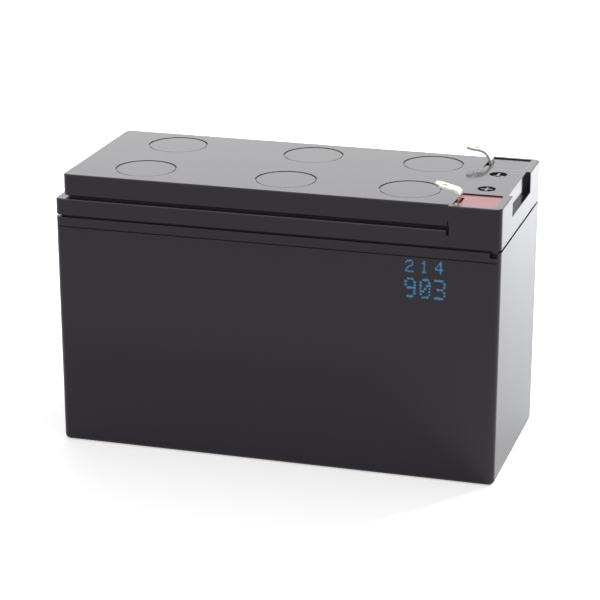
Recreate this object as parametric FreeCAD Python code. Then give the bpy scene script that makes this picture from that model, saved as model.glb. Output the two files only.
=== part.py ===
import FreeCAD, Part
import math
import os

# Sealed 12 volt lead-acid battery of the kind that fills a UPS battery cartridge.
# Millimetres. X runs along the length, with the terminals at +X; Y runs across; Z is up.
# The origin is at the centre of the underside.

# ---- Driving dimensions ----
LENGTH = 151.0
WIDTH = 65.0
LID_TOP = 94.0                  # height of the case without its terminals
DRAFT = 0.4                     # how much each wall of the container leans in at its foot
CORNER_RADIUS = 2.2
FOOT_RADIUS = 1.6
INSIDE_BEVEL = 1.0              # upright corners of the cells and of the rooms in the lid

# Container and its six cells, three along the length and two across.
WALL = 2.75
PARTITION = 1.5
CELL_FLOOR = 2.5
RIM_HEIGHT = 79.6               # outer top edge of the container
WELD_HEIGHT = 80.05             # plane where container and lid are welded
SEAM_DEPTH = 1.5                # depth of the shadow line round the weld
BAND_FOOT = 76.15               # the stiffening band lies between this line and the rim
BAND_LINE = 0.6                 # height of the line under the band
BAND_LINE_DEPTH = 0.7
BAND_END = 74.4
BAND_NOTCH_LENGTH = 2.4         # a small square hole at the +X end of the band
BAND_NOTCH_DEPTH = 2.5
BAND_NOTCH_FOOT = 77.9

# Lid, from its skirt to the raised terminal block.
DECK_UNDERSIDE = 82.6
DECK_HEIGHT = 85.9
BLOCK_START = 58.2              # the terminal block fills the lid from here to +X
EDGE_RADIUS = 0.5
LEDGE_BEVEL = 0.7               # along the outer edge of the deck, beside the vent cover
BLOCK_WALL = 2.5
STEP_SLOT_WIDTH = 1.0
STEP_SLOT_FOOT = 84.2
STEP_SLOT_HEAD = 88.8
STEP_SLOT_DEPTH = 2.2
NOTCH_HALF_WIDTH = 15.0
NOTCH_DEPTH = 2.8
NOTCH_FLOOR = 87.0
POCKET_START = 59.0
POCKET_END = 72.8
POCKET_INNER = 16.2
POCKET_OUTER = 31.3
POCKET_FLOOR = 88.0
POCKET_CORNER = 1.0
SIGN_X = 65.7
SIGN_Y = 9.2
SIGN_RADIUS = 3.0
SIGN_DEPTH = 0.6

# Vent cover and the six valves under it.
COVER_START = -73.1
COVER_HALF_WIDTH = 31.0
COVER_FOOT = 86.9
COVER_WALL = 2.2
COVER_CEILING = 91.6
COVER_CORNER = 2.2
WELD_RIB = 1.2
WELD_RIB_INSET = 1.2
DISC_X = (-48.8, 0.0, 42.0)
DISC_Y = 16.3
DISC_RADIUS = 10.3
DISC_DROP = 0.1                 # how far the face of a disc lies under the cover's top
DISC_GROOVE_WIDTH = 0.5         # the fine groove round each disc
DISC_GROOVE_DEPTH = 0.4
WELL_RADIUS = 8.2
WELL_FLOOR = 84.2
NECK_RADIUS = 4.9
NECK_BORE = 3.0
NECK_TOP = 89.6
CAP_RADIUS = 6.2
CAP_FOOT = 84.4
CAP_TOP = 91.0

# Plates of one cell: pasted lead plates with glass mat folded round each positive one.
POSITIVE_PLATES = 4
POSITIVE_THICKNESS = 2.3
NEGATIVE_THICKNESS = 1.6
MAT_THICKNESS = 1.35
PLATE_HALF_LENGTH = 22.0
MAT_HALF_LENGTH = 23.0
MAT_FOOT = CELL_FLOOR
MAT_TOP = 68.2
PLATE_TOP = 67.0
LUG_OFFSET = 16.5
LUG_WIDTH = 8.0
STRAP_FOOT = 71.0
STRAP_TOP = 75.0
STRAP_WIDTH = 9.2
FLAG_START = 18.5               # from the centre of the cell
FLAG_HALF_WIDTH = 5.0
FLAG_TOP = 78.0
NUGGET_RADIUS = 3.0
NUGGET_HEIGHT = 74.5

# Terminals: post, seal, resin and blade.
POST_X = 66.0
POST_Y = 23.5
POST_RADIUS = 4.0
PAD_HALF_SIZE = 4.6
SPIGOT_RADIUS = 1.8
RIVET_RADIUS = 2.6
RIVET_TOP = 90.6
RIVET_CHAMFER = 0.3
RING_SEAT_RADIUS = 5.6
RING_SEAT_DEPTH = 1.6
RING_CHAMFER = 0.5
RESIN_TOP = 93.35
RESIN_SLOT_END = 61.0
RESIN_SLOT_HALF_WIDTH = 3.0
RESIN_SLOT_FLOOR = 91.4
BLADE_THICKNESS = 0.8
BLADE_WIDTH = 4.75
BLADE_TIP = 52.0
BLADE_TIP_WIDTH = 2.6
BLADE_TIP_TAPER = 1.6
BLADE_HOLE_INSET = 3.2
BLADE_HOLE_RADIUS = 0.7
BLADE_FOOT = 89.0
BLADE_FOOT_END = 69.6
BLADE_BACK = 59.4               # face of the upright leg that looks towards -X
FOOT_BEND = 1.2                 # centre-line radius of the bend under the resin
# Height at which each upper bend starts, its centre-line radius, and the angles at which the
# leg leans towards +X and the tab rises; the two blades were bent by hand and differ a little.
POSITIVE_BEND = (95.4, 1.6, math.radians(4), math.radians(14))
NEGATIVE_BEND = (92.8, 4.6, math.radians(14), math.radians(6))

OVER = 1.0                      # how far a cutting tool runs past the face that it opens

CELL_X = (LENGTH / 2 - WALL) * 2 / 3 + PARTITION / 3
CELL_HALF_LENGTH = (LENGTH / 2 - WALL) / 3 - PARTITION / 3
CELL_Y = (WIDTH / 2 - WALL + PARTITION / 2) / 2
CELL_HALF_WIDTH = (WIDTH / 2 - WALL - PARTITION / 2) / 2


def vec(x, y, z):
    return FreeCAD.Vector(x, y, z)


def block(x0, x1, y0, y1, z0, z1):
    """Box between two corners."""
    return Part.makeBox(x1 - x0, y1 - y0, z1 - z0, vec(x0, y0, z0))


def rod(x, y, z0, z1, radius):
    """Upright cylinder."""
    return Part.makeCylinder(radius, z1 - z0, vec(x, y, z0))


def upright_edges(shape):
    """Edges of a box-like shape that run from its bottom to its top."""
    tall = shape.BoundBox.ZLength * 0.9
    return [edge for edge in shape.Edges if edge.BoundBox.ZLength > tall]


def edges_at_height(shape, height):
    """Edges that lie in one level plane."""
    return [edge for edge in shape.Edges
            if abs(edge.BoundBox.ZMin - height) < 1e-4 and abs(edge.BoundBox.ZMax - height) < 1e-4]


def rounded_block(x0, x1, y0, y1, z0, z1, radius):
    """Box with its four upright edges rounded."""
    shape = block(x0, x1, y0, y1, z0, z1)
    return shape.makeFillet(radius, upright_edges(shape))


def bevelled_block(x0, x1, y0, y1, z0, z1):
    """Box with its four upright edges bevelled, for the rooms inside the mouldings."""
    shape = block(x0, x1, y0, y1, z0, z1)
    return shape.makeChamfer(INSIDE_BEVEL, upright_edges(shape))


def centred_block(half_length, half_width, z0, z1, radius):
    return rounded_block(-half_length, half_length, -half_width, half_width, z0, z1, radius)


def cell_centres():
    """Centres of cells 1 to 6, in the order in which the current passes them."""
    front = [(x, -CELL_Y) for x in (CELL_X, 0.0, -CELL_X)]
    rear = [(x, CELL_Y) for x in (-CELL_X, 0.0, CELL_X)]
    return front + rear


def cell_space(centre, z0, z1):
    """The room inside one cell."""
    x, y = centre
    return bevelled_block(x - CELL_HALF_LENGTH, x + CELL_HALF_LENGTH,
                          y - CELL_HALF_WIDTH, y + CELL_HALF_WIDTH, z0, z1)


def vent_centres():
    return [(x, y) for y in (-DISC_Y, DISC_Y) for x in DISC_X]


def weld_holes():
    """Round holes in the partitions through which neighbouring cells are joined."""
    holes = []
    for x in (-CELL_X / 2, CELL_X / 2):
        for y in (-CELL_Y, CELL_Y):
            holes.append(Part.makeCylinder(NUGGET_RADIUS, PARTITION,
                                           vec(x - PARTITION / 2, y, NUGGET_HEIGHT), vec(1, 0, 0)))
    turn_x = -CELL_X - LUG_OFFSET
    holes.append(Part.makeCylinder(NUGGET_RADIUS, PARTITION,
                                   vec(turn_x, -PARTITION / 2, NUGGET_HEIGHT), vec(0, 1, 0)))
    return holes


# ---- Container: drafted case with five partitions, open at the top ----
def container():
    half_l = LENGTH / 2
    half_w = WIDTH / 2
    # The wedge is drawn with its height along Y and then stood up.
    shape = Part.makeWedge(-half_l + DRAFT, 0, -half_w + DRAFT, -half_w, -half_l,
                           half_l - DRAFT, RIM_HEIGHT, half_w - DRAFT, half_w, half_l)
    shape.rotate(vec(0, 0, 0), vec(1, 0, 0), 90)
    shape = shape.makeFillet(CORNER_RADIUS, upright_edges(shape))
    shape = shape.makeFillet(FOOT_RADIUS, edges_at_height(shape, 0.0))
    tongue = centred_block(half_l - SEAM_DEPTH, half_w - SEAM_DEPTH,
                           RIM_HEIGHT - OVER, WELD_HEIGHT, CORNER_RADIUS - SEAM_DEPTH)
    shape = shape.fuse(tongue)

    cuts = [cell_space(centre, CELL_FLOOR, WELD_HEIGHT + OVER) for centre in cell_centres()]
    cuts += weld_holes()
    for side in (-1, 1):
        face = side * half_w
        line = sorted((face - side * BAND_LINE_DEPTH, face + side))
        cuts.append(block(-BAND_END, BAND_END, line[0], line[1], BAND_FOOT, BAND_FOOT + BAND_LINE))
        deep = sorted((face - side * BAND_NOTCH_DEPTH, face + side))
        cuts.append(block(BAND_END - BAND_NOTCH_LENGTH, BAND_END, deep[0], deep[1],
                          BAND_NOTCH_FOOT, RIM_HEIGHT + OVER))
    return shape.cut(cuts).removeSplitter()


# ---- Lid: skirt and deck with six valve necks, and the terminal block at +X ----
def lid_shell():
    half_l = LENGTH / 2
    half_w = WIDTH / 2
    deck = centred_block(half_l, half_w, WELD_HEIGHT, DECK_HEIGHT, CORNER_RADIUS)
    deck = deck.makeChamfer(LEDGE_BEVEL, edges_at_height(deck, DECK_HEIGHT))
    raised = centred_block(half_l, half_w, WELD_HEIGHT, LID_TOP, CORNER_RADIUS)
    raised = raised.makeFillet(EDGE_RADIUS, edges_at_height(raised, LID_TOP))
    raised = raised.common(block(BLOCK_START, half_l, -half_w, half_w, WELD_HEIGHT, LID_TOP))
    shape = deck.fuse(raised)
    seam = block(-half_l - OVER, half_l + OVER, -half_w - OVER, half_w + OVER,
                 WELD_HEIGHT - OVER, 2 * WELD_HEIGHT - RIM_HEIGHT)
    seam = seam.cut(centred_block(half_l - SEAM_DEPTH, half_w - SEAM_DEPTH,
                                  WELD_HEIGHT - 2 * OVER, WELD_HEIGHT + 2 * OVER,
                                  CORNER_RADIUS - SEAM_DEPTH))
    headroom = [cell_space(centre, WELD_HEIGHT - OVER, DECK_UNDERSIDE) for centre in cell_centres()]
    block_core = bevelled_block(BLOCK_START + BLOCK_WALL, LENGTH / 2 - NOTCH_DEPTH - BLOCK_WALL,
                                PARTITION / 2, POCKET_INNER - BLOCK_WALL,
                                DECK_UNDERSIDE - OVER, LID_TOP - BLOCK_WALL)
    cores = [block_core, block_core.mirror(vec(0, 0, 0), vec(0, 1, 0))]
    return shape.cut([seam] + headroom + cores)


def terminal_pocket(side, z0, z1):
    """Room of the recess that holds one terminal, on the -Y or +Y side."""
    low, high = sorted((side * POCKET_INNER, side * POCKET_OUTER))
    return rounded_block(POCKET_START, POCKET_END, low, high, z0, z1, POCKET_CORNER)


def lid():
    shape = lid_shell()
    necks = [rod(x, y, DECK_UNDERSIDE, NECK_TOP, NECK_RADIUS) for x, y in vent_centres()]
    wells = [rod(x, y, WELL_FLOOR, DECK_HEIGHT + OVER, WELL_RADIUS) for x, y in vent_centres()]
    bores = [rod(x, y, DECK_UNDERSIDE - OVER, NECK_TOP + OVER, NECK_BORE) for x, y in vent_centres()]
    rib_side = COVER_HALF_WIDTH - WELD_RIB_INSET
    rib = bevelled_block(COVER_START + WELD_RIB_INSET, BLOCK_START + WELD_RIB, -rib_side, rib_side,
                         DECK_HEIGHT, COVER_FOOT)
    rib = rib.cut(bevelled_block(COVER_START + WELD_RIB_INSET + WELD_RIB, BLOCK_START - WELD_RIB,
                                 -rib_side + WELD_RIB, rib_side - WELD_RIB,
                                 DECK_HEIGHT - OVER, COVER_FOOT + OVER))
    shape = shape.cut(wells).fuse([rib] + necks)

    half_l = LENGTH / 2
    cuts = bores
    cuts.append(block(half_l - NOTCH_DEPTH, half_l + OVER, -NOTCH_HALF_WIDTH, NOTCH_HALF_WIDTH,
                      NOTCH_FLOOR, LID_TOP + OVER))
    for side in (-1, 1):
        cuts.append(terminal_pocket(side, POCKET_FLOOR, LID_TOP + OVER))
        cuts.append(rod(POST_X, side * POST_Y, DECK_UNDERSIDE - OVER, POCKET_FLOOR, POST_RADIUS))
        cuts.append(rod(POST_X, side * POST_Y, POCKET_FLOOR - RING_SEAT_DEPTH, POCKET_FLOOR,
                        RING_SEAT_RADIUS))
        cuts.append(rod(SIGN_X, side * SIGN_Y, LID_TOP - SIGN_DEPTH, LID_TOP + OVER, SIGN_RADIUS))
        face = side * WIDTH / 2
        low, high = sorted((face - side * STEP_SLOT_DEPTH, face + side))
        cuts.append(block(BLOCK_START - STEP_SLOT_WIDTH / 2, BLOCK_START + STEP_SLOT_WIDTH / 2,
                          low, high, STEP_SLOT_FOOT, STEP_SLOT_HEAD))
    return shape.cut(cuts).removeSplitter()


# ---- Vent cover: shallow tray turned upside down over the valves ----
def disc_mark(x, y):
    """What is cut away for one disc: a thin layer over its face and a groove round it."""
    face = rod(x, y, LID_TOP - DISC_DROP, LID_TOP + OVER, DISC_RADIUS)
    groove = rod(x, y, LID_TOP - DISC_GROOVE_DEPTH, LID_TOP, DISC_RADIUS)
    groove = groove.cut(rod(x, y, LID_TOP - OVER, LID_TOP + OVER, DISC_RADIUS - DISC_GROOVE_WIDTH))
    return face.fuse(groove)


def vent_cover():
    side = COVER_HALF_WIDTH
    shape = block(COVER_START, BLOCK_START, -side, side, COVER_FOOT, LID_TOP)
    corners = [edge for edge in upright_edges(shape) if edge.BoundBox.XMax < 0]
    shape = shape.makeFillet(COVER_CORNER, corners)
    outer = [edge for edge in edges_at_height(shape, LID_TOP)
             if edge.BoundBox.XMin < BLOCK_START - OVER]
    shape = shape.makeFillet(EDGE_RADIUS, outer)
    room = bevelled_block(COVER_START + COVER_WALL, BLOCK_START - COVER_WALL,
                          -side + COVER_WALL, side - COVER_WALL, COVER_FOOT - OVER, COVER_CEILING)
    shape = shape.cut([room] + [disc_mark(x, y) for x, y in vent_centres()])
    rings = []
    for x, y in vent_centres():
        ring = rod(x, y, CAP_TOP, COVER_CEILING, CAP_RADIUS)
        rings.append(ring.cut(rod(x, y, CAP_TOP - OVER, COVER_CEILING + OVER, NECK_RADIUS)))
    shape = shape.fuse(rings)
    slots = []
    for edge in (-1, 1):
        low, high = sorted((edge * (WIDTH / 2 - STEP_SLOT_DEPTH), edge * WIDTH / 2))
        slots.append(block(BLOCK_START - STEP_SLOT_WIDTH / 2, BLOCK_START + OVER, low, high,
                           COVER_FOOT - OVER, STEP_SLOT_HEAD))
    return shape.cut(slots).removeSplitter()


def valve_cap(x, y):
    """Rubber cup pulled over a neck; gas lifts its rim to escape."""
    shape = rod(x, y, CAP_FOOT, CAP_TOP, CAP_RADIUS)
    shape = shape.makeChamfer(EDGE_RADIUS, edges_at_height(shape, CAP_TOP))
    return shape.cut(rod(x, y, CAP_FOOT - OVER, NECK_TOP, NECK_RADIUS))


# ---- Cells ----
def plate_starts():
    """Lower Y face of each negative and positive plate, from the middle of the cell."""
    pitch = NEGATIVE_THICKNESS + POSITIVE_THICKNESS + 2 * MAT_THICKNESS
    stack = POSITIVE_PLATES * pitch + NEGATIVE_THICKNESS
    negative = [-stack / 2 + n * pitch for n in range(POSITIVE_PLATES + 1)]
    positive = [y + NEGATIVE_THICKNESS + MAT_THICKNESS for y in negative[:-1]]
    return negative, positive


def plate_group(centre, starts, thickness, foot, end):
    """Plates of one polarity burned to one strap, whose lugs are towards the given end of X."""
    x, y = centre
    lug_x = x + end * LUG_OFFSET
    pieces = []
    for start in starts:
        pieces.append(block(x - PLATE_HALF_LENGTH, x + PLATE_HALF_LENGTH,
                            y + start, y + start + thickness, foot, PLATE_TOP))
        pieces.append(block(lug_x - LUG_WIDTH / 2, lug_x + LUG_WIDTH / 2,
                            y + start, y + start + thickness, PLATE_TOP, STRAP_FOOT))
    pieces.append(block(lug_x - STRAP_WIDTH / 2, lug_x + STRAP_WIDTH / 2,
                        y + starts[0], y + starts[-1] + thickness, STRAP_FOOT, STRAP_TOP))
    return pieces


def lengthwise_link(centre, end):
    """Flag of a strap and its half of the weld through the partition beside it in X."""
    x, y = centre
    wall = x + end * CELL_HALF_LENGTH
    low, high = sorted((x + end * FLAG_START, wall))
    flag = block(low, high, y - FLAG_HALF_WIDTH, y + FLAG_HALF_WIDTH, STRAP_FOOT, FLAG_TOP)
    nugget = Part.makeCylinder(NUGGET_RADIUS, PARTITION / 2,
                               vec(wall, y, NUGGET_HEIGHT), vec(end, 0, 0))
    return [flag, nugget]


def crosswise_link(centre, end):
    """The same at the turn of the row, through the long middle partition."""
    x, y = centre
    towards = -math.copysign(1, y)
    wall = y + towards * CELL_HALF_WIDTH
    lug_x = x + end * LUG_OFFSET
    low, high = sorted((y + towards * CELL_HALF_WIDTH / 2, wall))
    flag = block(lug_x - FLAG_HALF_WIDTH, lug_x + FLAG_HALF_WIDTH, low, high, STRAP_FOOT, FLAG_TOP)
    nugget = Part.makeCylinder(NUGGET_RADIUS, PARTITION / 2,
                               vec(lug_x, wall, NUGGET_HEIGHT), vec(0, towards, 0))
    return [flag, nugget]


def post_pad(side):
    """Thick end of the strap on which a terminal post stands."""
    return [block(POST_X - PAD_HALF_SIZE, POST_X + PAD_HALF_SIZE,
                  side * POST_Y - PAD_HALF_SIZE, side * POST_Y + PAD_HALF_SIZE,
                  STRAP_FOOT, STRAP_TOP)]


def join(pieces):
    return pieces[0].fuse(pieces[1:]).removeSplitter()


def cell_pieces():
    """Plate groups and mats of the six cells, as node names and shapes."""
    negative_starts, positive_starts = plate_starts()
    nodes = {}
    for number, centre in enumerate(cell_centres(), start=1):
        x, y = centre
        positive_end = 1 if number <= 3 else -1
        positive = plate_group(centre, positive_starts, POSITIVE_THICKNESS,
                               MAT_FOOT + MAT_THICKNESS, positive_end)
        negative = plate_group(centre, negative_starts, NEGATIVE_THICKNESS,
                               MAT_FOOT, -positive_end)
        if number == 1:
            positive += post_pad(-1)
        elif number == 4:
            positive += crosswise_link(centre, positive_end)
        else:
            positive += lengthwise_link(centre, positive_end)
        if number == 6:
            negative += post_pad(1)
        elif number == 3:
            negative += crosswise_link(centre, -positive_end)
        else:
            negative += lengthwise_link(centre, -positive_end)
        nodes["cell_%d_positive_plates" % number] = join(positive)
        nodes["cell_%d_negative_plates" % number] = join(negative)

        folds = []
        for start in positive_starts:
            sheet = block(x - MAT_HALF_LENGTH, x + MAT_HALF_LENGTH, y + start - MAT_THICKNESS,
                          y + start + POSITIVE_THICKNESS + MAT_THICKNESS, MAT_FOOT, MAT_TOP)
            gap = block(x - LENGTH, x + LENGTH, y + start, y + start + POSITIVE_THICKNESS,
                        MAT_FOOT + MAT_THICKNESS, LID_TOP)
            folds.append(sheet.cut(gap))
        nodes["cell_%d_glass_mats" % number] = Part.makeCompound(folds)
    return nodes


# ---- Terminals ----
def terminal_post(side):
    """Lead post with a spigot that is peened over the foot of the blade."""
    y = side * POST_Y
    body = rod(POST_X, y, STRAP_TOP, BLADE_FOOT, POST_RADIUS)
    spigot = rod(POST_X, y, BLADE_FOOT, RIVET_TOP, SPIGOT_RADIUS)
    head = rod(POST_X, y, BLADE_FOOT + BLADE_THICKNESS, RIVET_TOP, RIVET_RADIUS)
    head = head.makeChamfer(RIVET_CHAMFER, edges_at_height(head, RIVET_TOP))
    return body.fuse([spigot, head]).removeSplitter()


def seal_ring(side):
    """Rubber ring squeezed between the post and its seat, so its section is nearly square."""
    y = side * POST_Y
    foot = POCKET_FLOOR - RING_SEAT_DEPTH
    shape = rod(POST_X, y, foot, POCKET_FLOOR, RING_SEAT_RADIUS)
    rims = edges_at_height(shape, foot) + edges_at_height(shape, POCKET_FLOOR)
    shape = shape.makeChamfer(RING_CHAMFER, rims)
    return shape.cut(rod(POST_X, y, foot - OVER, POCKET_FLOOR + OVER, POST_RADIUS))


def direction(angle):
    return vec(math.cos(angle), 0, math.sin(angle))


def strip_profile(start, heading, steps, thickness):
    """Side view of a bent strip as a face in the XZ plane.

    Each step is a straight run (length, 0) or a bend (centre-line radius, angle turned), with a
    positive angle to the left of the way the strip is laid.
    """
    left = []
    right = []
    point = start
    for size, turn in steps:
        if turn:
            bend_side = math.copysign(1, turn)
            centre = point + direction(heading + math.pi / 2) * bend_side * size
            fractions = (0, 0.5, 1)
        else:
            fractions = (0, 1)
        for edge_list, offset in ((left, thickness / 2), (right, -thickness / 2)):
            places = []
            for fraction in fractions:
                across = direction(heading + turn * fraction + math.pi / 2)
                if turn:
                    line_point = centre - across * bend_side * size
                else:
                    line_point = point + direction(heading) * size * fraction
                places.append(line_point + across * offset)
            if turn:
                edge_list.append(Part.Arc(*places).toShape())
            else:
                edge_list.append(Part.LineSegment(*places).toShape())
        if turn:
            point = centre - direction(heading + turn + math.pi / 2) * bend_side * size
            heading += turn
        else:
            point = point + direction(heading) * size
    ends = [Part.makeLine(left[0].Vertexes[0].Point, right[0].Vertexes[0].Point),
            Part.makeLine(left[-1].Vertexes[-1].Point, right[-1].Vertexes[-1].Point)]
    outline = Part.Wire(Part.__sortEdges__(left + right + ends))
    return Part.Face(outline)


def blade(side, bend_foot, bend_radius, lean, rise):
    """Tin-plated tab: a flat strip bent twice, with a tapered tip and two holes.

    The foot lies on the post. The leg leans towards +X by the angle lean up to the height
    bend_foot, and the tab beyond the bend rises by the angle rise.
    """
    half = BLADE_THICKNESS / 2
    foot_line = BLADE_FOOT + half
    leg_line = BLADE_BACK + half
    leg_foot = foot_line + FOOT_BEND * (1 + math.sin(lean))
    foot_run = BLADE_FOOT_END - leg_line - FOOT_BEND * math.cos(lean)
    leg_run = (bend_foot - leg_foot) / math.cos(lean)
    bend_end = (leg_line + leg_run * math.sin(lean)
                - bend_radius * (math.cos(lean) - math.sin(rise)))
    tab_run = (bend_end - BLADE_TIP) / math.cos(rise)
    steps = [(foot_run, 0),
             (FOOT_BEND, -math.pi / 2 - lean),
             (leg_run, 0),
             (bend_radius, math.pi / 2 + lean - rise),
             (tab_run, 0)]
    profile = strip_profile(vec(BLADE_FOOT_END, 0, foot_line), math.pi, steps, BLADE_THICKNESS)
    profile.translate(vec(0, side * POST_Y - BLADE_WIDTH / 2, 0))
    shape = profile.extrude(vec(0, BLADE_WIDTH, 0))

    cuts = [rod(POST_X, side * POST_Y, 0, LID_TOP, SPIGOT_RADIUS),
            rod(BLADE_TIP + BLADE_HOLE_INSET, side * POST_Y, LID_TOP, 2 * LID_TOP,
                BLADE_HOLE_RADIUS)]
    for edge in (-1, 1):
        outer = side * POST_Y + edge * BLADE_WIDTH / 2
        inner = side * POST_Y + edge * BLADE_TIP_WIDTH / 2
        corner = Part.makePolygon([vec(BLADE_TIP - OVER, outer + edge, LID_TOP),
                                   vec(BLADE_TIP - OVER, inner, LID_TOP),
                                   vec(BLADE_TIP, inner, LID_TOP),
                                   vec(BLADE_TIP + BLADE_TIP_TAPER, outer, LID_TOP),
                                   vec(BLADE_TIP + BLADE_TIP_TAPER, outer + edge, LID_TOP),
                                   vec(BLADE_TIP - OVER, outer + edge, LID_TOP)])
        cuts.append(Part.Face(corner).extrude(vec(0, 0, LID_TOP)))
    return shape.cut(cuts)


def resin(side, post, tab):
    """Coloured epoxy that fills the pocket round the foot of the blade."""
    fill = terminal_pocket(side, POCKET_FLOOR, RESIN_TOP)
    slot = block(POCKET_START - OVER, RESIN_SLOT_END, side * POST_Y - RESIN_SLOT_HALF_WIDTH,
                 side * POST_Y + RESIN_SLOT_HALF_WIDTH, RESIN_SLOT_FLOOR, LID_TOP)
    return fill.cut([slot, post, tab])


def terminal(side, sign, bend):
    """Post, seal, blade and resin of one terminal, as node names and shapes."""
    post = terminal_post(side)
    tab = blade(side, *bend)
    return {sign + "_post": post,
            sign + "_seal_ring": seal_ring(side),
            sign + "_blade": tab,
            sign + "_resin": resin(side, post, tab)}


def all_nodes():
    nodes = {"container": container(), "lid": lid(), "vent_cover": vent_cover()}
    for number, centre in enumerate(vent_centres(), start=1):
        nodes["valve_cap_%d" % number] = valve_cap(*centre)
    nodes.update(cell_pieces())
    nodes.update(terminal(-1, "positive", POSITIVE_BEND))
    nodes.update(terminal(1, "negative", NEGATIVE_BEND))
    return nodes


os.makedirs("parts", exist_ok=True)
for name, shape in all_nodes().items():
    if not shape.isValid():
        raise RuntimeError("shape is not valid: " + name)
    shape.exportStep("parts/%s.step" % name)
    print("%-26s %9.1f mm3, %d solid(s)" % (name, shape.Volume, len(shape.Solids)))
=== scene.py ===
import math

import bmesh
import bpy
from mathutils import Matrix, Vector


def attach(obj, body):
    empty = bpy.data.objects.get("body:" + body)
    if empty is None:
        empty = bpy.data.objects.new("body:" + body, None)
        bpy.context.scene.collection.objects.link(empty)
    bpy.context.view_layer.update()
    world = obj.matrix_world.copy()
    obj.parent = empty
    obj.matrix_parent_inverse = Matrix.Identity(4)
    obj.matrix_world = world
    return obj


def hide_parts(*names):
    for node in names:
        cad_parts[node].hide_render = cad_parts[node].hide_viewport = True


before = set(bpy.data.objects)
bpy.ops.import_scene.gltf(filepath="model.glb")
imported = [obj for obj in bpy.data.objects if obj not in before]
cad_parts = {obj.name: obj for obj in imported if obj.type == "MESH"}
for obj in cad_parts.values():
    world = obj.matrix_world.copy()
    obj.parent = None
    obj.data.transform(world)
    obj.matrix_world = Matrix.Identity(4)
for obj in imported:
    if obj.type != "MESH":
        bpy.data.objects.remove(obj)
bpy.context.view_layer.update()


# ---- Container ----
# One deep injection moulding in black ABS, standing on its closed foot. The steel mould was
# spark-eroded, so its skin is faintly grained, and its edges are painted paler: partly handling wear,
# partly a painted highlight.
MM = 0.001
ABS_TINT = (0.95, 0.87, 1.0)
ROUGHNESS_DRIFT = 0.03
EDGE_WEAR_AND_HIGHLIGHT_GAIN = 3.0                 # how much lighter an edge is than the plastic: handling wear plus a painted highlight


def put(tree, kind, inputs=None, **settings):
    """Adds one node. An input is given a value, or the output of another node."""
    item = tree.nodes.new(kind)
    for name, value in settings.items():
        setattr(item, name, value)
    for name, value in (inputs or {}).items():
        if isinstance(value, bpy.types.NodeSocket):
            tree.links.new(value, item.inputs[name])
        else:
            item.inputs[name].default_value = value
    return item


def shader_group(name, inputs, outputs):
    """An empty group with its sockets; returns the tree, its input node and its output node."""
    tree = bpy.data.node_groups.new(name, "ShaderNodeTree")
    for socket, kind, value in inputs:
        made = tree.interface.new_socket(name=socket, in_out="INPUT", socket_type=kind)
        if value is not None:
            made.default_value = value
    for socket, kind in outputs:
        tree.interface.new_socket(name=socket, in_out="OUTPUT", socket_type=kind)
    return tree, tree.nodes.new("NodeGroupInput"), tree.nodes.new("NodeGroupOutput")


def moulded_skin_group():
    """Grain left by the mould, slow drifts from the flow of the plastic, and faint rubbing."""
    tree, given, result = shader_group(
        "moulded_skin",
        [("Place", "NodeSocketVector", None), ("Grain size", "NodeSocketFloat", 0.35 * MM),
         ("Rubbing", "NodeSocketFloat", 0.5)],
        [("Grain", "NodeSocketFloat"), ("Drift", "NodeSocketFloat"), ("Rubbed", "NodeSocketFloat")])
    per_metre = put(tree, "ShaderNodeMath", {0: 1.0, 1: given.outputs["Grain size"]}, operation="DIVIDE")
    grain = put(tree, "ShaderNodeTexNoise",
                {"Vector": given.outputs["Place"], "Scale": per_metre.outputs[0],
                 "Detail": 3.0, "Roughness": 0.6})
    drift = put(tree, "ShaderNodeTexNoise",
                {"Vector": given.outputs["Place"], "Scale": 22.0, "Detail": 2.0, "Distortion": 0.6})
    strokes = put(tree, "ShaderNodeMapping",
                  {"Vector": given.outputs["Place"], "Rotation": (0.2, 0.1, 0.35),
                   "Scale": (60.0, 400.0, 180.0)})
    rubbed = put(tree, "ShaderNodeTexNoise",
                 {"Vector": strokes.outputs[0], "Scale": 1.0, "Detail": 4.0, "Roughness": 0.7})
    rare = put(tree, "ShaderNodeMapRange",
               {"Value": rubbed.outputs["Fac"], "From Min": 0.56, "From Max": 0.8})
    weighed = put(tree, "ShaderNodeMath",
                  {0: rare.outputs[0], 1: given.outputs["Rubbing"]}, operation="MULTIPLY")
    tree.links.new(grain.outputs["Fac"], result.inputs["Grain"])
    tree.links.new(drift.outputs["Fac"], result.inputs["Drift"])
    tree.links.new(weighed.outputs[0], result.inputs["Rubbed"])
    return tree


def edge_group():
    """Corners as the tool leaves them: slightly round, with an edge mask that paints them paler, partly
    as handling wear and partly as a painted highlight.
    """
    tree, given, result = shader_group(
        "rounded_edges_worn_and_highlit",
        [("Place", "NodeSocketVector", None), ("Radius", "NodeSocketFloat", 0.3 * MM)],
        [("Edge", "NodeSocketFloat"), ("Normal", "NodeSocketVector")])
    rounded = put(tree, "ShaderNodeBevel", {"Radius": given.outputs["Radius"]}, samples=6)
    surface = tree.nodes.new("ShaderNodeNewGeometry")
    likeness = put(tree, "ShaderNodeVectorMath",
                   {0: rounded.outputs[0], 1: surface.outputs["Normal"]}, operation="DOT_PRODUCT")
    turned = put(tree, "ShaderNodeMapRange",
                 {"Value": likeness.outputs["Value"], "From Min": 0.998, "From Max": 0.9})
    patches = put(tree, "ShaderNodeTexNoise",
                  {"Vector": given.outputs["Place"], "Scale": 160.0, "Detail": 3.0})
    broken = put(tree, "ShaderNodeMapRange",
                 {"Value": patches.outputs["Fac"], "From Min": 0.35, "From Max": 0.65})
    edge = put(tree, "ShaderNodeMath", {0: turned.outputs[0], 1: broken.outputs[0]}, operation="MULTIPLY")
    tree.links.new(edge.outputs[0], result.inputs["Edge"])
    tree.links.new(rounded.outputs[0], result.inputs["Normal"])
    return tree


moulded_skin = moulded_skin_group()
rounded_edges_worn_and_highlit = edge_group()


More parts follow.
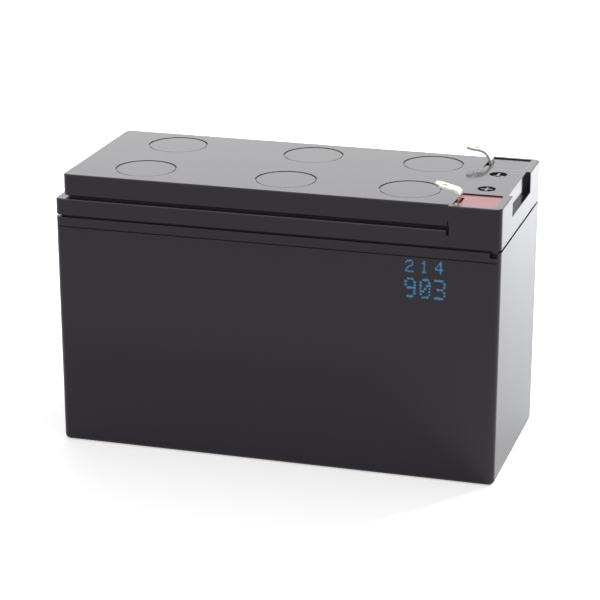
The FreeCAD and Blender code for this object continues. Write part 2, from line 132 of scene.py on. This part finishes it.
def new_material(name):
    """A material with nothing but its Principled shader; returns it with the shader and its tree."""
    material = bpy.data.materials.new(name)
    material.use_nodes = True
    tree = material.node_tree
    return material, tree, tree.nodes["Principled BSDF"]


def mix_colours(tree, share, first, second):
    """Output of a mix between two colours."""
    mix = put(tree, "ShaderNodeMix", {"Factor": share}, data_type="RGBA")
    for socket, colour in (("A", first), ("B", second)):
        target = [s for s in mix.inputs if s.name == socket and s.type == "RGBA"][0]
        if isinstance(colour, bpy.types.NodeSocket):
            tree.links.new(colour, target)
        else:
            target.default_value = (*colour, 1.0)
    return [s for s in mix.outputs if s.type == "RGBA"][0]


def moulded_plastic(name, dark, light, roughness, grain_depth, rubbing):
    """Black ABS: two close shades that drift, grain as bump, edges painted paler (handling wear and a
    painted highlight) and rubbed spots.
    """
    material, tree, shader = new_material(name)
    place = tree.nodes.new("ShaderNodeTexCoord").outputs["Object"]
    skin = put(tree, "ShaderNodeGroup", node_tree=moulded_skin)
    tree.links.new(place, skin.inputs["Place"])
    skin.inputs["Rubbing"].default_value = rubbing
    edges = put(tree, "ShaderNodeGroup", node_tree=rounded_edges_worn_and_highlit)
    tree.links.new(place, edges.inputs["Place"])

    shade = mix_colours(tree, skin.outputs["Drift"], dark, light)
    # painted highlight: every edge is painted paler, both for handling wear and for the shine of light
    # along it
    worn_and_highlit = tuple(EDGE_WEAR_AND_HIGHLIGHT_GAIN * value for value in light)
    colour = mix_colours(tree, edges.outputs["Edge"], shade, worn_and_highlit)
    tree.links.new(colour, shader.inputs["Base Color"])
    drifted = put(tree, "ShaderNodeMapRange",
                  {"Value": skin.outputs["Drift"], "To Min": roughness - ROUGHNESS_DRIFT,
                   "To Max": roughness + ROUGHNESS_DRIFT})
    polished = put(tree, "ShaderNodeMath",
                   {0: drifted.outputs[0], 1: skin.outputs["Rubbed"]}, operation="SUBTRACT")
    tree.links.new(polished.outputs[0], shader.inputs["Roughness"])
    grain = put(tree, "ShaderNodeBump",
                {"Height": skin.outputs["Grain"], "Distance": grain_depth, "Strength": 1.0,
                 "Normal": edges.outputs["Normal"]})
    tree.links.new(grain.outputs[0], shader.inputs["Normal"])
    shader.inputs["Specular Tint"].default_value = (*ABS_TINT, 1.0)
    return material


def finish_node(name, material):
    """Gives a node of the frame its finished material."""
    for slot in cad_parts[name].material_slots:
        slot.material = material


container_abs = moulded_plastic("container_abs",
                                dark=(0.0062, 0.0052, 0.0075), light=(0.0085, 0.0072, 0.0100),
                                roughness=0.15, grain_depth=0.004 * MM, rubbing=0.02)
finish_node("container", container_abs)


# ---- Plates and mats ----
# In each cell four pasted positive plates hang between five negative ones. White glass mat is
# folded round every positive plate and holds the acid.
CELLS = 6
PASTE_DARK_SHARE = 0.6               # how dark the darker patches of paste are, as a share of its colour


def pasted_plate(name, paste, grid):
    """Paste pressed into a cast grid, whose bars show through as a faint lattice."""
    material, tree, shader = new_material(name)
    place = tree.nodes.new("ShaderNodeTexCoord").outputs["Object"]
    crumbs = put(tree, "ShaderNodeTexNoise", {"Vector": place, "Scale": 1800.0, "Detail": 5.0})
    bars = put(tree, "ShaderNodeTexWave", {"Vector": place, "Scale": 30.0, "Distortion": 0.0},
               wave_type="BANDS", bands_direction="Z")
    ribs = put(tree, "ShaderNodeTexWave", {"Vector": place, "Scale": 24.0, "Distortion": 0.0},
               wave_type="BANDS", bands_direction="X")
    lattice = put(tree, "ShaderNodeMath",
                  {0: bars.outputs["Fac"], 1: ribs.outputs["Fac"]}, operation="MAXIMUM")
    share = put(tree, "ShaderNodeMapRange",
                {"Value": lattice.outputs[0], "From Min": 0.93, "From Max": 1.0})
    darker_paste = tuple(PASTE_DARK_SHARE * value for value in paste)
    uneven = mix_colours(tree, crumbs.outputs["Fac"], paste, darker_paste)
    colour = mix_colours(tree, share.outputs[0], uneven, grid)
    tree.links.new(colour, shader.inputs["Base Color"])
    tree.links.new(share.outputs[0], shader.inputs["Metallic"])
    dull = put(tree, "ShaderNodeMapRange",
               {"Value": crumbs.outputs["Fac"], "To Min": 0.65, "To Max": 0.9})
    tree.links.new(dull.outputs[0], shader.inputs["Roughness"])
    rough = put(tree, "ShaderNodeBump", {"Height": crumbs.outputs["Fac"], "Distance": 0.06 * MM})
    tree.links.new(rough.outputs[0], shader.inputs["Normal"])
    return material


def glass_felt():
    """Felt of very fine glass fibres laid flat."""
    material, tree, shader = new_material("glass_felt")
    place = tree.nodes.new("ShaderNodeTexCoord").outputs["Object"]
    lay = put(tree, "ShaderNodeMapping", {"Vector": place, "Rotation": (0.0, 0.7, 0.0),
                                          "Scale": (900.0, 3000.0, 2600.0)})
    fibres = put(tree, "ShaderNodeTexNoise",
                 {"Vector": lay.outputs[0], "Scale": 1.0, "Detail": 6.0, "Distortion": 1.5})
    colour = mix_colours(tree, fibres.outputs["Fac"], (0.86, 0.86, 0.84), (0.70, 0.70, 0.68))
    tree.links.new(colour, shader.inputs["Base Color"])
    dull = put(tree, "ShaderNodeMapRange",
               {"Value": fibres.outputs["Fac"], "To Min": 0.85, "To Max": 1.0})
    tree.links.new(dull.outputs[0], shader.inputs["Roughness"])
    nap = put(tree, "ShaderNodeBump", {"Height": fibres.outputs["Fac"], "Distance": 0.08 * MM})
    tree.links.new(nap.outputs[0], shader.inputs["Normal"])
    return material


positive_paste = pasted_plate("positive_paste", paste=(0.070, 0.030, 0.016), grid=(0.32, 0.32, 0.34))
negative_paste = pasted_plate("negative_paste", paste=(0.20, 0.21, 0.22), grid=(0.40, 0.41, 0.43))
mat_felt = glass_felt()
for number in range(1, CELLS + 1):
    finish_node("cell_%d_positive_plates" % number, positive_paste)
    finish_node("cell_%d_negative_plates" % number, negative_paste)
    finish_node("cell_%d_glass_mats" % number, mat_felt)


# ---- Lid ----
# The second ABS moulding, welded to the container with a hot plate. At its +X end it carries the
# terminal block, with a pocket for each terminal and a shallow dish for each sign. The solid lid
# is reshaped a little: its ledge has a fine bevel, its rims are broad and its end recess shallow.
LID_END = 75.5
RECESS_DEPTH = 1.5
LEDGE_TOP = 85.9
LEDGE_BEVEL = 0.3
RIM_GAIN = 0.7                  # how much wider the rim outside a pocket is than in the solid
SOLID_RECESS_BACK = 72.7
SOLID_RECESS_HALF_WIDTH = 15.0
SOLID_BEVEL = 0.7
SOLID_POCKET_FLOOR = 88.0
SOLID_POCKET_X = (59.0, 72.8)
SOLID_POCKET_Y = (30.3, 31.3)   # from the start of its rounded corners to its outer wall
CORNER_CENTRE = (-73.3, 30.3)   # of the upright corners at the -X end
CORNER_RADIUS = 2.2
TOUCH = 0.02                    # points nearer to a face than this stand on it

lid_abs = moulded_plastic("lid_abs",
                          dark=(0.0065, 0.0056, 0.0078), light=(0.0090, 0.0078, 0.0104),
                          roughness=0.11, grain_depth=0.003 * MM, rubbing=0.0)


def near(value, target):
    """Tells whether a coordinate lies on a face."""
    return abs(value - target) < TOUCH


def within(value, limits):
    """Tells whether a coordinate lies between two faces, or on one of them."""
    return limits[0] - TOUCH < value < limits[1] + TOUCH


def pocket_wall(x, y):
    """Tells whether a point stands on the outer wall of a terminal's pocket."""
    return within(x, SOLID_POCKET_X) and within(abs(y), SOLID_POCKET_Y)


def moulded_lid(x, y, z):
    """Where a point of the solid lid lies on the moulding: fine ledge, broad rims, shallow recess."""
    if near(x, SOLID_RECESS_BACK) and near(abs(y), SOLID_RECESS_HALF_WIDTH):
        return LID_END - RECESS_DEPTH, y, z
    if pocket_wall(x, y) and z > SOLID_POCKET_FLOOR - TOUCH:
        return x, y - math.copysign(RIM_GAIN, y), z
    inner = Vector((max(x, CORNER_CENTRE[0]), math.copysign(min(abs(y), CORNER_CENTRE[1]), y)))
    outward = Vector((x, y)) - inner
    if near(z, LEDGE_TOP) and near(outward.length, CORNER_RADIUS - SOLID_BEVEL):
        place = inner + outward.normalized() * (CORNER_RADIUS - LEDGE_BEVEL)
        return place.x, place.y, z
    if near(z, LEDGE_TOP - SOLID_BEVEL) and near(outward.length, CORNER_RADIUS):
        return x, y, LEDGE_TOP - LEDGE_BEVEL
    return x, y, z


def reshaped(node, name, move):
    """A node's mesh with its triangles joined, each point moved in millimetres, its shading kept."""
    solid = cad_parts[node].data
    spots = {}
    faces = []
    for face in solid.polygons:
        corners = [tuple(round(value / MM, 4) for value in solid.vertices[index].co)
                   for index in face.vertices]
        faces.append([spots.setdefault(corner, len(spots)) for corner in corners])
    mesh = bpy.data.meshes.new(name)
    mesh.from_pydata([Vector(move(*spot)) * MM for spot in spots], [], faces, shade_flat=False)
    mesh.normals_split_custom_set([corner.vector[:] for corner in solid.corner_normals])
    return mesh


def mesh_object(name, mesh, material):
    """A piece whose place is in its mesh, with one material."""
    mesh.materials.clear()
    mesh.materials.append(material)
    piece = bpy.data.objects.new(name, mesh)
    bpy.context.scene.collection.objects.link(piece)
    return piece


lid_moulding = mesh_object("lid_moulding", reshaped("lid", "lid_moulding", moulded_lid), lid_abs)
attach(lid_moulding, "root")
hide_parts("lid")


# ---- Polarity signs ----
# A plus and a minus moulded with the lid. Each stands on the floor of its dish and ends just
# under the lid's top, so it can't be rubbed off.
SIGN_X = 65.7
SIGN_Y = 9.2
SIGN_FLOOR = 93.4
SIGN_TOP = 93.95
SIGN_ROOT = 0.05                # how far a sign reaches into the floor of its dish
SIGN_HALF_LENGTH = 2.0
SIGN_HALF_WIDTH = 0.5
SIGN_ROUNDING = 0.12


def raised_sign(name, outline, x, y):
    """Extrudes an outline, given round its middle, from the floor of the dish and rounds its top."""
    shape = bmesh.new()
    root = (SIGN_FLOOR - SIGN_ROOT) * MM
    foot = [shape.verts.new(((x + u) * MM, (y + v) * MM, root)) for u, v in outline]
    face = shape.faces.new(foot)
    grown = bmesh.ops.extrude_face_region(shape, geom=[face])
    top = [item for item in grown["geom"] if isinstance(item, bmesh.types.BMVert)]
    bmesh.ops.translate(shape, verts=top, vec=(0, 0, (SIGN_TOP - SIGN_FLOOR + SIGN_ROOT) * MM))
    rims = [edge for edge in shape.edges if all(vert in top for vert in edge.verts)]
    bmesh.ops.bevel(shape, geom=rims, offset=SIGN_ROUNDING * MM, segments=3, profile=0.5,
                    affect="EDGES")
    bmesh.ops.recalc_face_normals(shape, faces=shape.faces)
    mesh = bpy.data.meshes.new(name)
    shape.to_mesh(mesh)
    shape.free()
    piece = mesh_object(name, mesh, lid_abs)
    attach(piece, "root")


long = SIGN_HALF_LENGTH
short = SIGN_HALF_WIDTH
plus_outline = [(long, -short), (long, short), (short, short), (short, long), (-short, long),
                (-short, short), (-long, short), (-long, -short), (-short, -short),
                (-short, -long), (short, -long), (short, -short)]
minus_outline = [(short, -long), (short, long), (-short, long), (-short, -long)]
raised_sign("plus_sign", plus_outline, SIGN_X, -SIGN_Y)
raised_sign("minus_sign", minus_outline, SIGN_X, SIGN_Y)


# ---- Posts and seal rings ----
# Each post is cast in lead. It rises from an end strap through the lid and is peened over the foot
# of its blade. A rubber ring, squeezed round it in a seat of the lid, keeps the acid in.
def cast_lead(name, bright, dull, roughness):
    """Grey lead: a soft bloom over the bright metal, with the dimples of the casting."""
    material, tree, shader = new_material(name)
    place = tree.nodes.new("ShaderNodeTexCoord").outputs["Object"]
    bloom = put(tree, "ShaderNodeTexNoise", {"Vector": place, "Scale": 260.0, "Detail": 5.0})
    colour = mix_colours(tree, bloom.outputs["Fac"], bright, dull)
    tree.links.new(colour, shader.inputs["Base Color"])
    metal = put(tree, "ShaderNodeMapRange",
                {"Value": bloom.outputs["Fac"], "To Min": 1.0, "To Max": 0.55})
    tree.links.new(metal.outputs[0], shader.inputs["Metallic"])
    dullness = put(tree, "ShaderNodeMapRange",
                   {"Value": bloom.outputs["Fac"], "To Min": roughness - 0.1, "To Max": roughness + 0.12})
    tree.links.new(dullness.outputs[0], shader.inputs["Roughness"])
    cast = put(tree, "ShaderNodeBump", {"Height": bloom.outputs["Fac"], "Distance": 0.05 * MM})
    tree.links.new(cast.outputs[0], shader.inputs["Normal"])
    return material


def rubber(name, dark, chalky):
    """Moulded rubber with a little chalk left from packing."""
    material, tree, shader = new_material(name)
    place = tree.nodes.new("ShaderNodeTexCoord").outputs["Object"]
    chalk = put(tree, "ShaderNodeTexNoise", {"Vector": place, "Scale": 480.0, "Detail": 6.0})
    share = put(tree, "ShaderNodeMapRange",
                {"Value": chalk.outputs["Fac"], "From Min": 0.48, "From Max": 0.8})
    colour = mix_colours(tree, share.outputs[0], dark, chalky)
    tree.links.new(colour, shader.inputs["Base Color"])
    soft = put(tree, "ShaderNodeMapRange",
               {"Value": share.outputs[0], "To Min": 0.55, "To Max": 0.85})
    tree.links.new(soft.outputs[0], shader.inputs["Roughness"])
    pores = put(tree, "ShaderNodeBump", {"Height": chalk.outputs["Fac"], "Distance": 0.02 * MM})
    tree.links.new(pores.outputs[0], shader.inputs["Normal"])
    return material


post_lead = cast_lead("post_lead_cast",
                      bright=(0.52, 0.53, 0.56), dull=(0.30, 0.31, 0.33), roughness=0.42)
ring_rubber = rubber("seal_ring_rubber", dark=(0.012, 0.012, 0.012), chalky=(0.06, 0.06, 0.06))
for polarity in ("positive", "negative"):
    finish_node(polarity + "_post", post_lead)
    finish_node(polarity + "_seal_ring", ring_rubber)


# ---- Terminals ----
# Tin-plated brass strip, stamped and bent, riveted to the lead post below and then drowned in
# epoxy: red resin round the positive one, black round the negative one. The resin fills each
# pocket almost to its rim, a little higher than in the solid.
SOLID_RESIN_TOP = 93.35
RESIN_TOP = 93.65
BLADE_EDGE = 0.1                # rounding of the blade's stamped edges
BLADE_MERGE = 0.001             # points nearer to each other than this are one
BLADE_FLAT = math.radians(1.0)  # triangles nearer to one plane than this are joined
BLADE_CORNER = math.radians(40) # edges sharper than this are rounded


def tin_plate():
    """Dull white metal with the rolling lines of the strip and a few darker handling spots."""
    material, tree, shader = new_material("blade_tin_plate")
    place = tree.nodes.new("ShaderNodeTexCoord").outputs["Object"]
    along = put(tree, "ShaderNodeMapping", {"Vector": place, "Scale": (120.0, 5200.0, 120.0)})
    rolled = put(tree, "ShaderNodeTexNoise",
                 {"Vector": along.outputs[0], "Scale": 1.0, "Detail": 3.0})
    spots = put(tree, "ShaderNodeTexNoise", {"Vector": place, "Scale": 520.0, "Detail": 4.0})
    share = put(tree, "ShaderNodeMapRange",
                {"Value": spots.outputs["Fac"], "From Min": 0.45, "From Max": 0.75})
    colour = mix_colours(tree, share.outputs[0], (0.80, 0.77, 0.71), (0.56, 0.51, 0.44))
    tree.links.new(colour, shader.inputs["Base Color"])
    shader.inputs["Metallic"].default_value = 1.0
    dull = put(tree, "ShaderNodeMapRange",
               {"Value": rolled.outputs["Fac"], "To Min": 0.20, "To Max": 0.38})
    tree.links.new(dull.outputs[0], shader.inputs["Roughness"])
    lines = put(tree, "ShaderNodeBump", {"Height": rolled.outputs["Fac"], "Distance": 0.01 * MM})
    tree.links.new(lines.outputs[0], shader.inputs["Normal"])
    return material


def poured_resin(name, deep, thin, roughness, tint):
    """Cast epoxy: glossy, slightly wavy, with the colour a little uneven where it ran."""
    material, tree, shader = new_material(name)
    shader.inputs["Specular Tint"].default_value = (*tint, 1.0)
    place = tree.nodes.new("ShaderNodeTexCoord").outputs["Object"]
    waves = put(tree, "ShaderNodeTexNoise", {"Vector": place, "Scale": 160.0, "Detail": 1.0})
    pigment = put(tree, "ShaderNodeTexNoise", {"Vector": place, "Scale": 190.0, "Detail": 2.0})
    colour = mix_colours(tree, pigment.outputs["Fac"], deep, thin)
    tree.links.new(colour, shader.inputs["Base Color"])
    dull = put(tree, "ShaderNodeMapRange",
               {"Value": pigment.outputs["Fac"], "To Min": roughness - ROUGHNESS_DRIFT,
                "To Max": roughness + ROUGHNESS_DRIFT})
    tree.links.new(dull.outputs[0], shader.inputs["Roughness"])
    ripple = put(tree, "ShaderNodeBump", {"Height": waves.outputs["Fac"], "Distance": 0.04 * MM})
    tree.links.new(ripple.outputs[0], shader.inputs["Normal"])
    return material


def poured_shape(x, y, z):
    """Where a point of the solid resin lies once the pocket is filled almost to its rim."""
    if pocket_wall(x, y):
        y -= math.copysign(RIM_GAIN, y)
    return x, y, RESIN_TOP if near(z, SOLID_RESIN_TOP) else z


def resin_filling(node, resin):
    """The resin of one pocket, in its poured shape."""
    name = node + "_filling"
    piece = mesh_object(name, reshaped(node, name, poured_shape), resin)
    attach(piece, "root")
    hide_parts(node)


def stamped_blade(node):
    """The blade with the small roundings that stamping and plating leave on every edge."""
    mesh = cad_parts[node].data.copy()
    shape = bmesh.new()
    shape.from_mesh(mesh)
    bmesh.ops.remove_doubles(shape, verts=shape.verts, dist=BLADE_MERGE * MM)
    bmesh.ops.dissolve_limit(shape, angle_limit=BLADE_FLAT, verts=shape.verts, edges=shape.edges)
    sharp = [edge for edge in shape.edges if edge.calc_face_angle(0.0) > BLADE_CORNER]
    bmesh.ops.bevel(shape, geom=sharp, offset=BLADE_EDGE * MM, segments=3, profile=0.5,
                    affect="EDGES", clamp_overlap=True)
    bmesh.ops.recalc_face_normals(shape, faces=shape.faces)
    shape.to_mesh(mesh)
    shape.free()
    piece = mesh_object(node + "_plated", mesh, blade_tin)
    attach(piece, "root")
    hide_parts(node)


red_resin = poured_resin("red_epoxy", deep=(0.31, 0.010, 0.018), thin=(0.36, 0.016, 0.026),
                         roughness=0.20, tint=(1.0, 1.0, 1.0))
black_resin = poured_resin("black_epoxy", deep=(0.006, 0.006, 0.007), thin=(0.012, 0.012, 0.013),
                           roughness=0.16, tint=(0.97, 0.93, 1.0))
resin_filling("positive_resin", red_resin)
resin_filling("negative_resin", black_resin)
blade_tin = tin_plate()
stamped_blade("positive_blade")
stamped_blade("negative_blade")


# ---- Valves ----
# Six moulded rubber cups, one for each cell, pulled over the necks of the lid. Nothing but their
# own stretch holds them, so they lift when gas has to leave a cell.
valve_rubber = rubber("valve_cup_rubber", dark=(0.015, 0.015, 0.016), chalky=(0.11, 0.11, 0.10))
for number in range(1, CELLS + 1):
    finish_node("valve_cap_%d" % number, valve_rubber)


# ---- Vent cover ----
# A shallow ABS tray, moulded like the lid and welded upside down over the six valves with
# ultrasound. A fine groove round each of its six discs shows where a valve sits.
cover_abs = moulded_plastic("cover_abs",
                            dark=(0.0065, 0.0056, 0.0078), light=(0.0092, 0.0080, 0.0106),
                            roughness=0.11, grain_depth=0.003 * MM, rubbing=0.0)
finish_node("vent_cover", cover_abs)


# ---- Date print ----
# Plain numbers sprayed on the front by an inkjet coder once the block is closed and charged.
# Each stroke is a row of small drops of blue ink that dry on the plastic.
INK_LEFT = 44.9
FRONT_TOP_Y = -32.5
CASE_RIM = 79.6
FRONT_LEAN = 0.4 / CASE_RIM     # the front stands 0.4 further in at its foot than at its rim
INK_THICKNESS = 0.02
DROP_SIZES = (0.8, 1.15)        # the smallest and the largest drop, as shares of the plain size
DROP_SCATTER = 0.07             # how far a drop may land from its place
DROP_SEED = 5
DIGITS = {
    "0": ("01110", "10001", "10011", "10101", "11001", "10001", "01110"),
    "1": ("00100", "01100", "00100", "00100", "00100", "00100", "01110"),
    "2": ("01110", "10001", "00001", "00110", "01000", "10000", "11111"),
    "3": ("11110", "00001", "00001", "01110", "00001", "00001", "11110"),
    "4": ("00010", "00110", "01010", "10010", "11111", "00010", "00010"),
    "9": ("01110", "10001", "10001", "01111", "00001", "00001", "01110"),
}
# For each row: its digits, its top, from digit to digit, from dot to dot across and down, dot radius.
INK_ROWS = (("214", 75.0, 4.9, 0.52, 0.60, 0.32),
            ("903", 68.9, 4.9, 0.72, 0.98, 0.44))


def ink_points():
    """Centre and radius of every ink dot on the leaning front face."""
    points = []
    radii = []
    for digits, top, pitch, step_x, step_z, radius in INK_ROWS:
        for place, digit in enumerate(digits):
            for row, cells in enumerate(DIGITS[digit]):
                for column, cell in enumerate(cells):
                    if cell == "1":
                        x = INK_LEFT + place * pitch + column * step_x
                        z = top - row * step_z
                        y = FRONT_TOP_Y + FRONT_LEAN * (CASE_RIM - z)
                        points.append((x * MM, y * MM, z * MM))
                        radii.append(radius * MM)
    return points, radii


def ink_dot_tree(material):
    """Sets a low drop of ink on every point, each a little different in size and place."""
    tree = bpy.data.node_groups.new("ink_dots", "GeometryNodeTree")
    for name, kind, value in (("Geometry", "NodeSocketGeometry", None),
                              ("Ink thickness", "NodeSocketFloat", INK_THICKNESS * MM),
                              ("Seed", "NodeSocketInt", DROP_SEED)):
        socket = tree.interface.new_socket(name=name, in_out="INPUT", socket_type=kind)
        if value is not None:
            socket.default_value = value
    tree.interface.new_socket(name="Geometry", in_out="OUTPUT", socket_type="NodeSocketGeometry")
    given = tree.nodes.new("NodeGroupInput")
    result = tree.nodes.new("NodeGroupOutput")
    drop = put(tree, "GeometryNodeMeshUVSphere", {"Segments": 12, "Rings": 6, "Radius": 1.0})
    radius = put(tree, "GeometryNodeInputNamedAttribute", {"Name": "dot_radius"}, data_type="FLOAT")
    size = put(tree, "FunctionNodeRandomValue", {"Seed": given.outputs["Seed"]}, data_type="FLOAT")
    size.inputs[2].default_value = DROP_SIZES[0]
    size.inputs[3].default_value = DROP_SIZES[1]
    wide = put(tree, "ShaderNodeMath",
               {0: radius.outputs[0], 1: size.outputs[1]}, operation="MULTIPLY")
    stretch = put(tree, "ShaderNodeCombineXYZ",
                  {"X": wide.outputs[0], "Y": given.outputs["Ink thickness"], "Z": wide.outputs[0]})
    spread = put(tree, "FunctionNodeRandomValue",
                 {"Seed": given.outputs["Seed"]}, data_type="FLOAT_VECTOR")
    spread.inputs[0].default_value = (-DROP_SCATTER * MM, 0.0, -DROP_SCATTER * MM)
    spread.inputs[1].default_value = (DROP_SCATTER * MM, 0.0, DROP_SCATTER * MM)
    moved = put(tree, "GeometryNodeSetPosition",
                {"Geometry": given.outputs["Geometry"], "Offset": spread.outputs[0]})
    points = put(tree, "GeometryNodeInstanceOnPoints",
                 {"Points": moved.outputs[0], "Instance": drop.outputs["Mesh"],
                  "Scale": stretch.outputs[0]})
    real = put(tree, "GeometryNodeRealizeInstances", {"Geometry": points.outputs[0]})
    inked = put(tree, "GeometryNodeSetMaterial",
                {"Geometry": real.outputs[0], "Material": material})
    tree.links.new(inked.outputs[0], result.inputs["Geometry"])
    return tree


def coder_ink():
    """Blue pigment ink, thinner and paler in places."""
    material, tree, shader = new_material("blue_coder_ink")
    place = tree.nodes.new("ShaderNodeTexCoord").outputs["Object"]
    cover = put(tree, "ShaderNodeTexNoise", {"Vector": place, "Scale": 700.0, "Detail": 3.0})
    colour = mix_colours(tree, cover.outputs["Fac"], (0.035, 0.25, 0.52), (0.10, 0.43, 0.72))
    tree.links.new(colour, shader.inputs["Base Color"])
    dull = put(tree, "ShaderNodeMapRange",
               {"Value": cover.outputs["Fac"], "To Min": 0.45, "To Max": 0.65})
    tree.links.new(dull.outputs[0], shader.inputs["Roughness"])
    return material


def plain_mesh(piece, name):
    """Mesh of a piece after its modifiers."""
    seen = bpy.context.evaluated_depsgraph_get()
    mesh = bpy.data.meshes.new_from_object(piece.evaluated_get(seen))
    mesh.name = name
    return mesh


blue_ink = coder_ink()
seed_mesh = bpy.data.meshes.new("ink_points")
ink_places, ink_radii = ink_points()
seed_mesh.from_pydata(ink_places, [], [])
seed_mesh.attributes.new("dot_radius", "FLOAT", "POINT").data.foreach_set("value", ink_radii)
date_print = mesh_object("date_print", seed_mesh, blue_ink)
dots = date_print.modifiers.new("ink_dots", "NODES")
dots.node_group = ink_dot_tree(blue_ink)
date_print.data = plain_mesh(date_print, "date_print")
date_print.modifiers.clear()
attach(date_print, "root")


# ---- Camera ----
# A plain camera with a long lens. It stands a little to the right of the front and looks down on
# the lid.
CAMERA_AZIMUTH = math.radians(16.4)
CAMERA_ELEVATION = math.radians(18.4)
CAMERA_DISTANCE = 0.79
SENSOR_WIDTH = 36.0
LENS = 138.9
AIM = Vector((0.0, 0.0, 0.047))
camera_data = bpy.data.cameras.new("camera")
camera_data.sensor_width = SENSOR_WIDTH
camera_data.lens = LENS
camera = bpy.data.objects.new("camera", camera_data)
bpy.context.scene.collection.objects.link(camera)
towards = Vector((math.sin(CAMERA_AZIMUTH) * math.cos(CAMERA_ELEVATION),
                  -math.cos(CAMERA_AZIMUTH) * math.cos(CAMERA_ELEVATION),
                  math.sin(CAMERA_ELEVATION)))
camera.location = AIM + CAMERA_DISTANCE * towards
camera.rotation_euler = (-towards).to_track_quat("-Z", "Y").to_euler()
bpy.context.scene.camera = camera


# ---- Floor and light ----
# A sheet of pale paper to stand on. One large soft lamp hangs behind and one overhead, and a small
# one lights the paper behind the block. The white room round them is what the gloss mirrors.
FLOOR_HALF = 6.0


def ray_strength(tree, seen, mirrored, lighting):
    """Strength for the camera (also through glass), for reflections, and for plain lighting."""
    rays = tree.nodes.new("ShaderNodeLightPath")
    direct = put(tree, "ShaderNodeMath", {0: rays.outputs["Is Camera Ray"],
                                          1: rays.outputs["Is Transmission Ray"]}, operation="MAXIMUM")
    reflected = put(tree, "ShaderNodeMapRange", {"Value": rays.outputs["Is Glossy Ray"],
                                                 "To Min": lighting, "To Max": mirrored})
    mix = put(tree, "ShaderNodeMix",
              {"Factor": direct.outputs[0], "A": reflected.outputs[0], "B": seen})
    return mix.outputs[0]


def studio_floor():
    """Pale paper. It glows a little for the eye, which makes it white and keeps the shadow on it."""
    material, tree, shader = new_material("pale_floor")
    place = tree.nodes.new("ShaderNodeTexCoord").outputs["Object"]
    cloud = put(tree, "ShaderNodeTexNoise", {"Vector": place, "Scale": 3.0})
    colour = mix_colours(tree, cloud.outputs["Fac"], (0.86, 0.86, 0.86), (0.88, 0.88, 0.88))
    tree.links.new(colour, shader.inputs["Base Color"])
    shader.inputs["Roughness"].default_value = 0.6
    shader.inputs["Emission Color"].default_value = (1.0, 1.0, 1.0, 1.0)
    glow = ray_strength(tree, seen=0.57, mirrored=0.28, lighting=0.0)
    tree.links.new(glow, shader.inputs["Emission Strength"])
    return material


corners = [(-FLOOR_HALF, -FLOOR_HALF, 0.0), (FLOOR_HALF, -FLOOR_HALF, 0.0),
           (FLOOR_HALF, FLOOR_HALF, 0.0), (-FLOOR_HALF, FLOOR_HALF, 0.0)]
floor_mesh = bpy.data.meshes.new("floor")
floor_mesh.from_pydata(corners, [], [(0, 1, 2, 3)])
floor = mesh_object("floor", floor_mesh, studio_floor())


def soft_lamp(name, place, target, width, height, power, colour=(1.0, 1.0, 1.0), spread=180,
              mirrored=True):
    """A rectangular lamp that the camera doesn't see, turned towards its target."""
    data = bpy.data.lights.new(name, "AREA")
    data.color = colour
    data.spread = math.radians(spread)
    data.shape = "RECTANGLE"
    data.size = width
    data.size_y = height
    data.energy = power
    lamp = bpy.data.objects.new(name, data)
    bpy.context.scene.collection.objects.link(lamp)
    lamp.location = place
    aim = Vector(target) - Vector(place)
    lamp.rotation_euler = aim.to_track_quat("-Z", "Y").to_euler()
    lamp.visible_camera = False
    lamp.visible_glossy = mirrored


soft_lamp("back_lamp", place=(0.0, 2.5, 0.7), target=(0.0, 0.0, 0.1), width=4.0, height=1.2,
          power=11.5, colour=(0.96, 0.98, 1.0))
soft_lamp("floor_lamp", place=(0.6, 1.0, 0.8), target=(0.22, 0.5, 0.0), width=0.5, height=0.5,
          power=3.9, colour=(0.92, 0.95, 1.0), spread=50, mirrored=False)
soft_lamp("top_lamp", place=(0.0, 0.0, 2.5), target=(0.0, 0.0, 0.0), width=2.5, height=2.5,
          power=20.0)

world = bpy.data.worlds.new("studio")
world.use_nodes = True
bpy.context.scene.world = world
sky = world.node_tree
background = sky.nodes["Background"]
sky.links.new(ray_strength(sky, seen=1.0, mirrored=1.0, lighting=0.3), background.inputs["Strength"])
background.inputs["Color"].default_value = (1.0, 1.0, 1.0, 1.0)

bpy.context.scene.view_settings.view_transform = "Standard"
